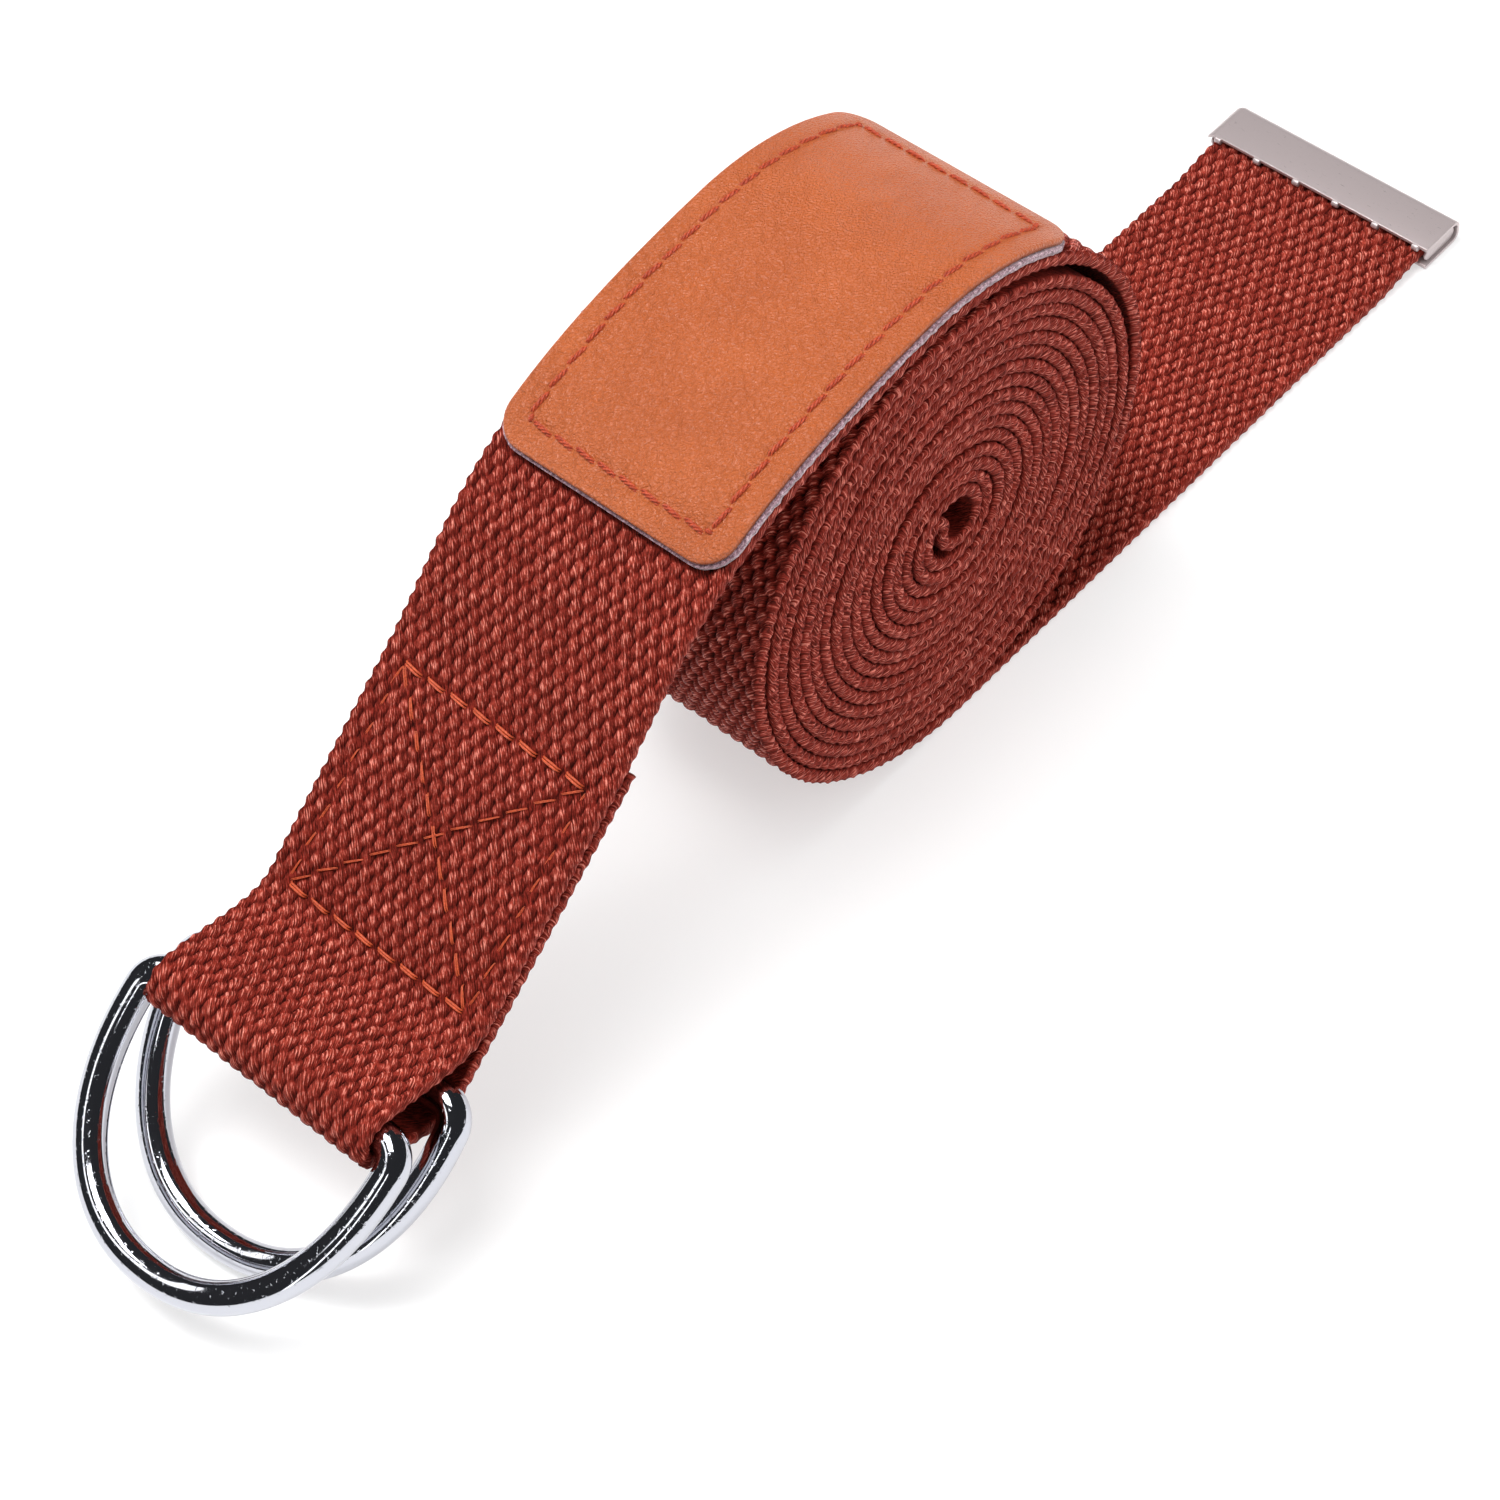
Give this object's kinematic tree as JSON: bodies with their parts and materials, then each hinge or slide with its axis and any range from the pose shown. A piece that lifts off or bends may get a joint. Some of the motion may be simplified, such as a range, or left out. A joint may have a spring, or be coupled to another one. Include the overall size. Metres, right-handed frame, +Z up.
{
  "type": "stretching strap",
  "caption": "Woven cotton stretching strap rolled into a standing coil, with paired D-rings sewn into one end and a folded metal clip on the other.",
  "frame": {"origin": "on the tail's flat underside, 3 mm from the coil's foot, on the surface that the strap rests on", "axes": "+X along the strap from the D-rings to the end clip, +Y along the coil's axis and the webbing's width, +Z up"},
  "size_m": [0.247, 0.0478, 0.0783],
  "materials": {
    "cotton_webbing": "coarse plain-woven rust-red cotton",
    "ring_chrome": "polished chrome plate",
    "patch_facing": "fine-grained orange-tan coated leather",
    "patch_backing": "brushed mauve-grey fibre backing",
    "label_thread": "twisted dark red sewing thread",
    "box_thread": "twisted orange-red sewing thread",
    "clip_nickel": "satin nickel plate"
  },
  "bodies": {
    "strap": {"webbing": "cotton_webbing", "label_patch_facing": "patch_facing", "label_patch_backing": "patch_backing", "label_stitch_needle_thread": "label_thread", "label_stitch_bobbin_thread": "label_thread", "box_stitch_needle_thread": "box_thread", "box_stitch_bobbin_thread": "box_thread", "end_clip": "clip_nickel"},
    "upper_ring": {"d_ring_upper": "ring_chrome"},
    "lower_ring": {"d_ring_lower": "ring_chrome"}
  },
  "joints": [
    {"name": "upper_ring_hinge", "type": "hinge", "parent": "strap", "child": "upper_ring", "pos_m": [-0.1091, 0, 0.0238], "axis": [0, 1, 0], "range_deg": [-8, 175]},
    {"name": "lower_ring_hinge", "type": "hinge", "parent": "strap", "child": "lower_ring", "pos_m": [-0.1009, 0, 0.0212], "axis": [-0.0698, 0.9976, 0], "range_deg": [-110, 0]}
  ]
}
